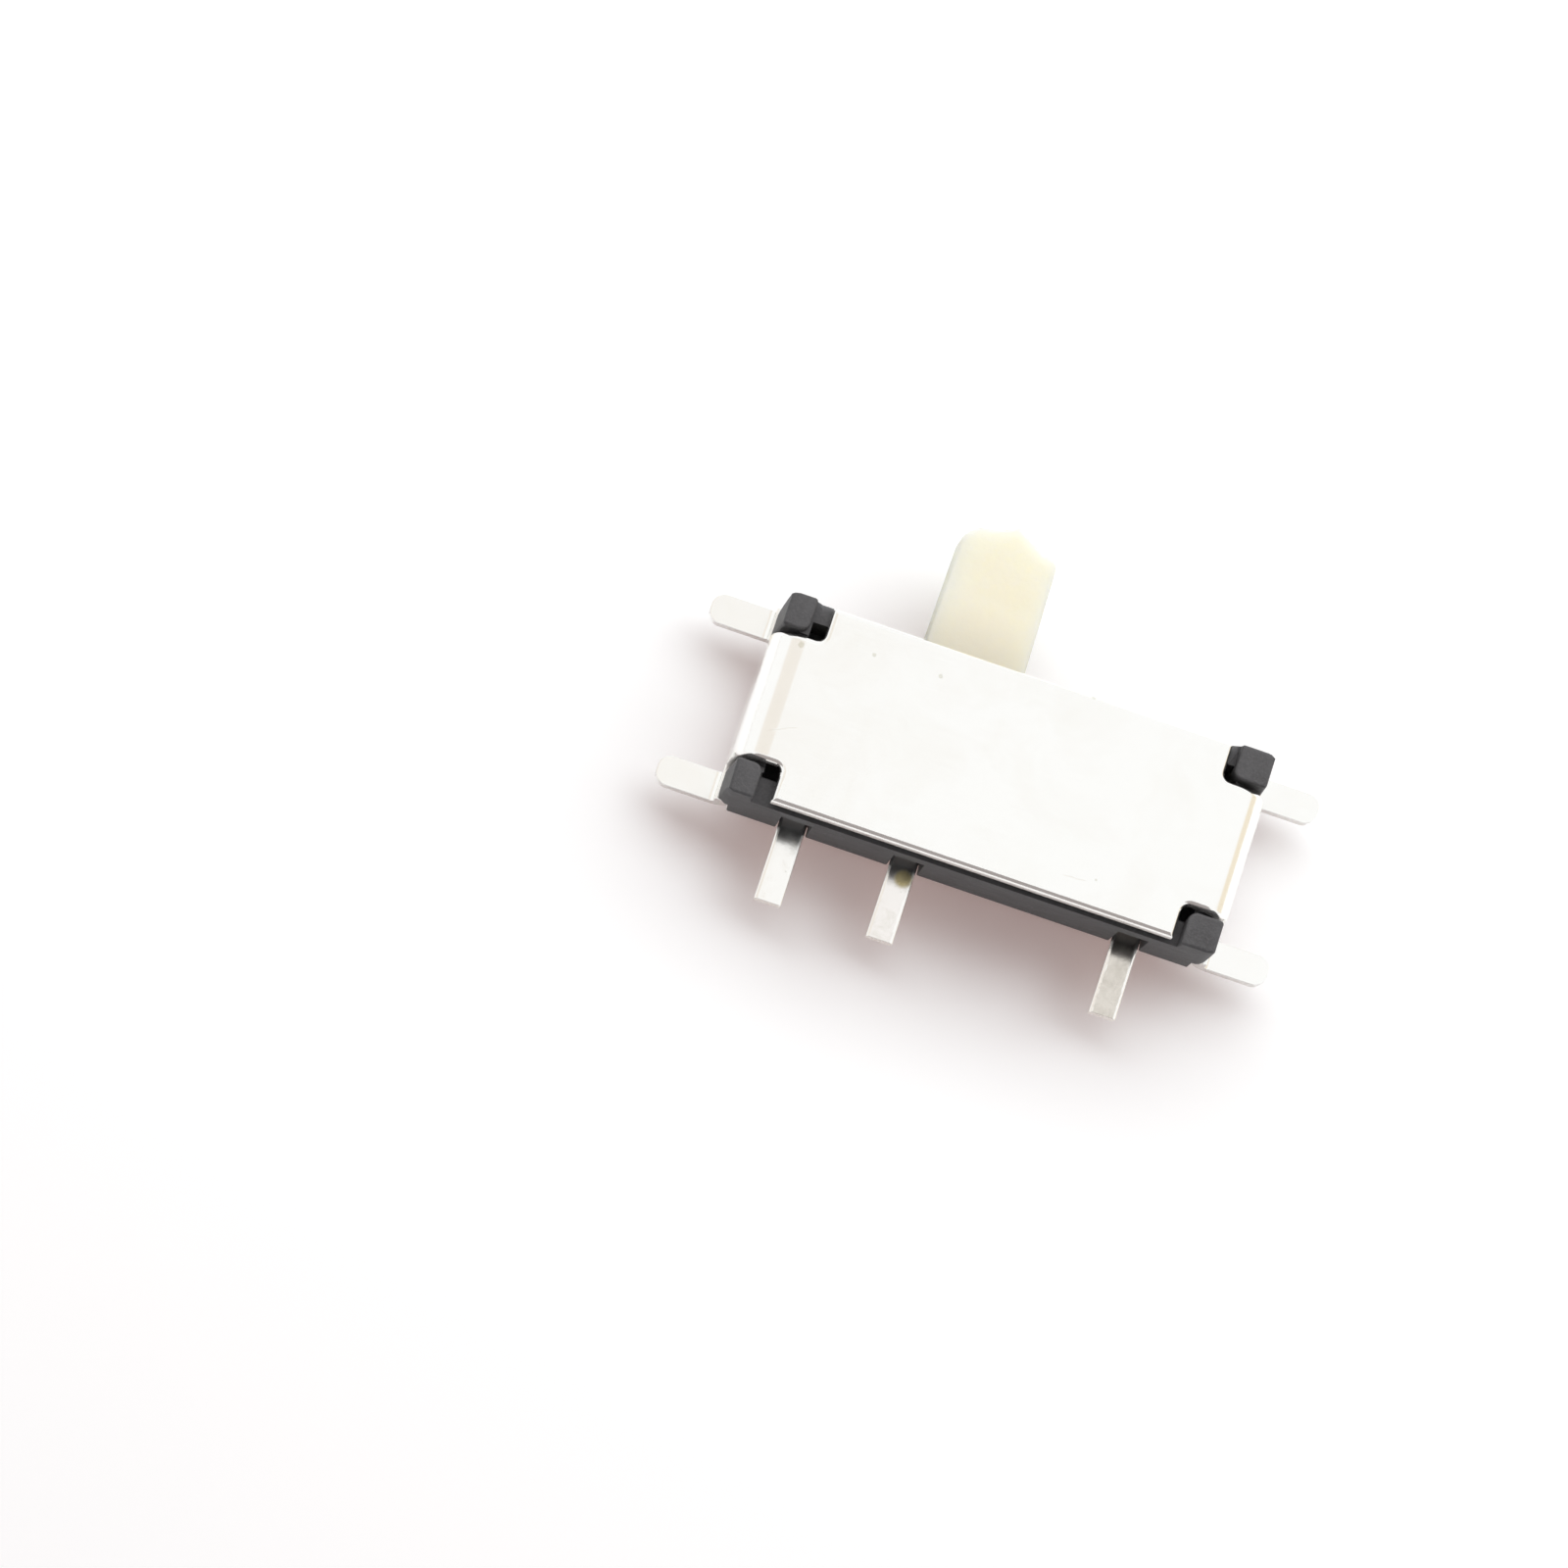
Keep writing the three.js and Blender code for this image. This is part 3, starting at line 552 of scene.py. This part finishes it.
def cover_piece():
    bm = cad_shape("cover")
    bevel(bm, 0.075, 4, lambda edge, m: all(on_skin(v.co) for v in edge.verts))
    bevel(bm, 0.016, 2, lambda edge, m: edge.is_convex, 40)

    def cut_face(normal, centre):
        foot_end = abs(normal.x) > 0.9 and abs(centre.x) > FOOT_END
        return int(abs(normal.z) < 0.35 and (abs(normal.y) > 0.9 or foot_end))

    return finish_piece("metal_cover", bm, "body", "cover", [steel, sheared], cut_face)


def split_rear_rim(bm, x):
    """Splits the rear wall's face and top at x, so that its rounding ends there at full width."""
    bm.normal_update()

    def on_wall(face):
        back = face.normal.y > 0.99 and face.calc_center_median().y > POST_OUTER - NEAR
        return back or face.normal.z > 0.99 and all(abs(v.co.z - REAR_RIM) < NEAR for v in face.verts)

    faces = [f for f in bm.faces if on_wall(f)]
    edges = [e for f in faces for e in f.edges]
    verts = [v for f in faces for v in f.verts]
    parts = list(dict.fromkeys([*faces, *edges, *verts]))  # each one once, always in the same order
    bmesh.ops.bisect_plane(bm, geom=parts, dist=1e-4, plane_co=(x, 0, 0), plane_no=(1, 0, 0))


def housing_piece():
    bm = cad_shape("housing", ARC_STEP, lambda p: abs(p.x) > 2.7 and p.z > 0.4)

    def post_upright(edge, m):
        inner = abs(abs(m.y) - POST_INNER) < NEAR and abs(m.x) > 3.1
        outer = abs(abs(m.y) - POST_OUTER) < NEAR and abs(m.x) < 3
        tall = m.z > 0.5 and along(edge, 2, 0.9) and edge.calc_length() > 0.15
        return tall and turn(edge) > 60 and (inner or outer)

    def rear_rim(edge, m):
        at_rim = m.y > POST_OUTER - NEAR and 1.2 < m.z < 1.3 and RIM_LEFT < m.x < RIM_RIGHT
        return at_rim and along(edge, 0)

    def post_round(m):
        return abs(m.x) > 3.15 and abs(m.y) > 1.15 and 0.5 < m.z < HOUSING_TOP

    bevel(bm, 0.04, 3, lambda edge, m: m.z > HOUSING_TOP - NEAR or post_upright(edge, m))
    split_rear_rim(bm, RIM_LEFT)
    split_rear_rim(bm, RIM_RIGHT)
    bevel(bm, 0.1, 4, rear_rim)
    bevel(bm, 0.018, 2, lambda edge, m: outer_edge(edge) and not post_round(m), 40)
    return finish_piece("black_base", bm, "body", "housing", [black])


def terminal_piece(node, centre, bright, dull, share, brass_and_glint_spot=None):
    strip = tinned_strip("tinned_strip_" + node[-1], centre, bright, dull, share, brass_and_glint_spot)
    bm = cad_shape(node, 0.02)
    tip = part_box(node)[0].y / MM
    bevel(bm, 0.045, 3, lambda edge, m: m.y < WALL_FRONT and m.z > 0.1 and along(edge, 1))
    bevel(bm, 0.012, 2, lambda edge, m: edge.is_convex, 40)

    def tip_face(normal, face_centre):
        return int(normal.y < -0.9 and face_centre.y < tip + 0.02)

    return finish_piece(node + "_strip", bm, "body", node, [strip, brass], tip_face)


def slider_piece():
    bm = cad_shape("slider", ARC_STEP, lambda p: p.y > KNOB_TIP)

    def on_dimple(m):
        return m.z < DIMPLE_TOP and math.hypot(m.x - DIMPLE_X, m.y - DIMPLE_Y) < DIMPLE_REACH

    def on_gate(edge, m):
        return m.y > KNOB_TIP and (along(edge, 2) or abs(m.z - GATE_FOOT) < NEAR)

    def knob_edge(edge, m):
        return m.y > KNOB_ROOT and not on_dimple(m) and not on_gate(edge, m)

    def carrier_edge(edge, m):
        return m.y <= KNOB_ROOT and edge.is_convex and edge.calc_length() > 0.1

    bevel(bm, 0.04, 3, knob_edge)
    bevel(bm, 0.02, 2, carrier_edge, 40)
    return finish_piece("slider_knob", bm, "knob", "slider", [ivory])


cover_piece()
housing_piece()
terminal_piece("terminal_1", -2.25, (0.97, 0.96, 0.93), (0.88, 0.86, 0.80), 0.05)
# terminal_2 also gets the small olive patch at its root, partly brass and partly a painted glint.
terminal_piece("terminal_2", -0.75, (0.92, 0.89, 0.86), (0.80, 0.77, 0.71), 0.12, (-0.70, -1.46))
terminal_piece("terminal_3", 2.25, (0.74, 0.70, 0.64), (0.60, 0.56, 0.50), 0.2)
slider_piece()
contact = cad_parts["moving_contact"]
contact.data.materials.clear()
contact.data.materials.append(bronze)
